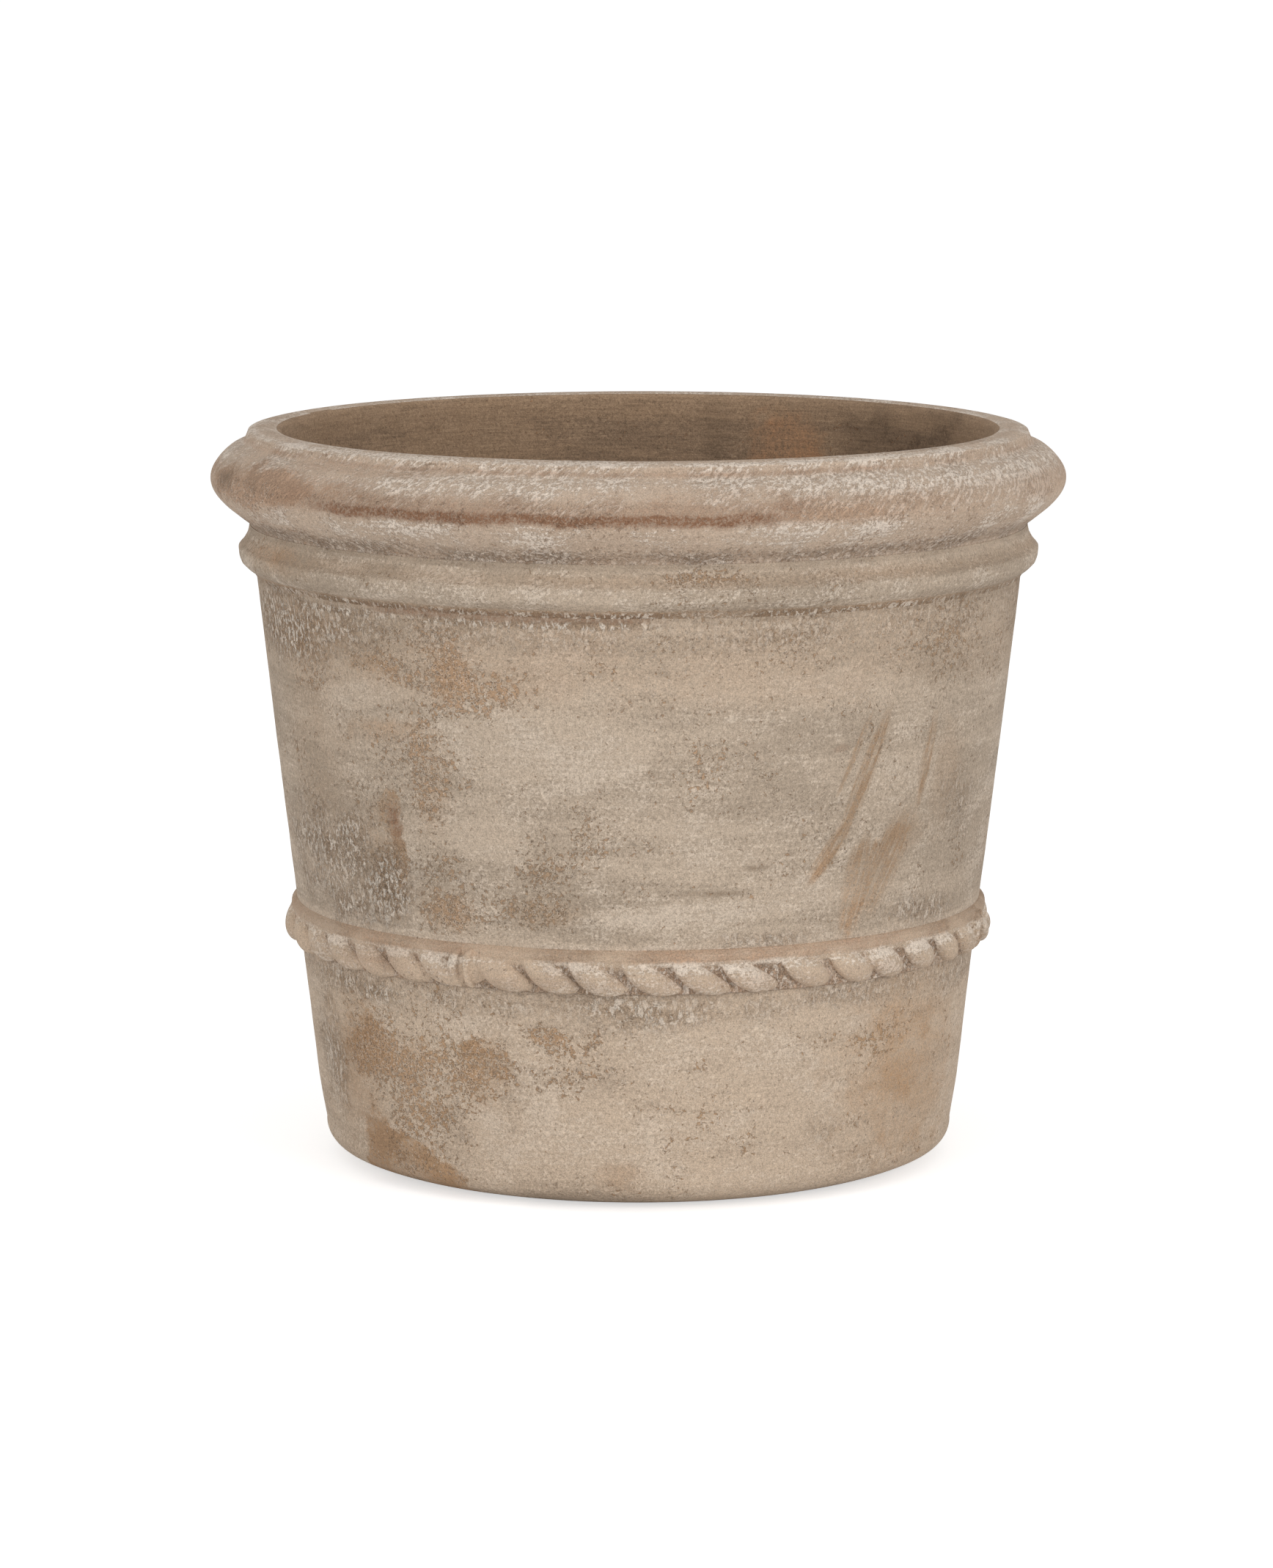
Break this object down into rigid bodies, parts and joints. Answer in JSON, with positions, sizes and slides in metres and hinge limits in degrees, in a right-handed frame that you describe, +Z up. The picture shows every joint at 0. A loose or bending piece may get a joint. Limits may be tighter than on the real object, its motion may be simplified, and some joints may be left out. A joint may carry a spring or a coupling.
{
  "type": "pithos planter",
  "caption": "Tapered terracotta pithos-style planter with a rolled rim, a collar moulding, a rope band and a drain hole.",
  "frame": {"origin": "centre of the underside, on the ground", "axes": "+Z up along the pot's own axis; the pictured side faces -Y, with +X to its right"},
  "size_m": [0.5, 0.4999, 0.43],
  "materials": {
    "floor_slab": "fired terracotta, bare and stained by soil",
    "lower_wall": "fired terracotta under a worn, patchy limewash",
    "upper_wall": "fired terracotta under a brushed, flaking limewash",
    "rim_roll": "fired terracotta with lime bloom and a rusty stain",
    "collar_moulding": "fired terracotta with lime left in its hollows",
    "rope": "press-moulded terracotta, rubbed limewash and pitted grooves"
  },
  "bodies": {
    "root": {"floor_slab": "floor_slab", "lower_wall": "lower_wall", "upper_wall": "upper_wall", "rim_roll": "rim_roll", "collar_moulding": "collar_moulding", "rope_strip_1": "rope", "rope_strip_2": "rope", "rope_strip_3": "rope", "rope_strip_4": "rope", "rope_strip_5": "rope", "rope_strip_6": "rope", "rope_strip_7": "rope"}
  },
  "joints": []
}
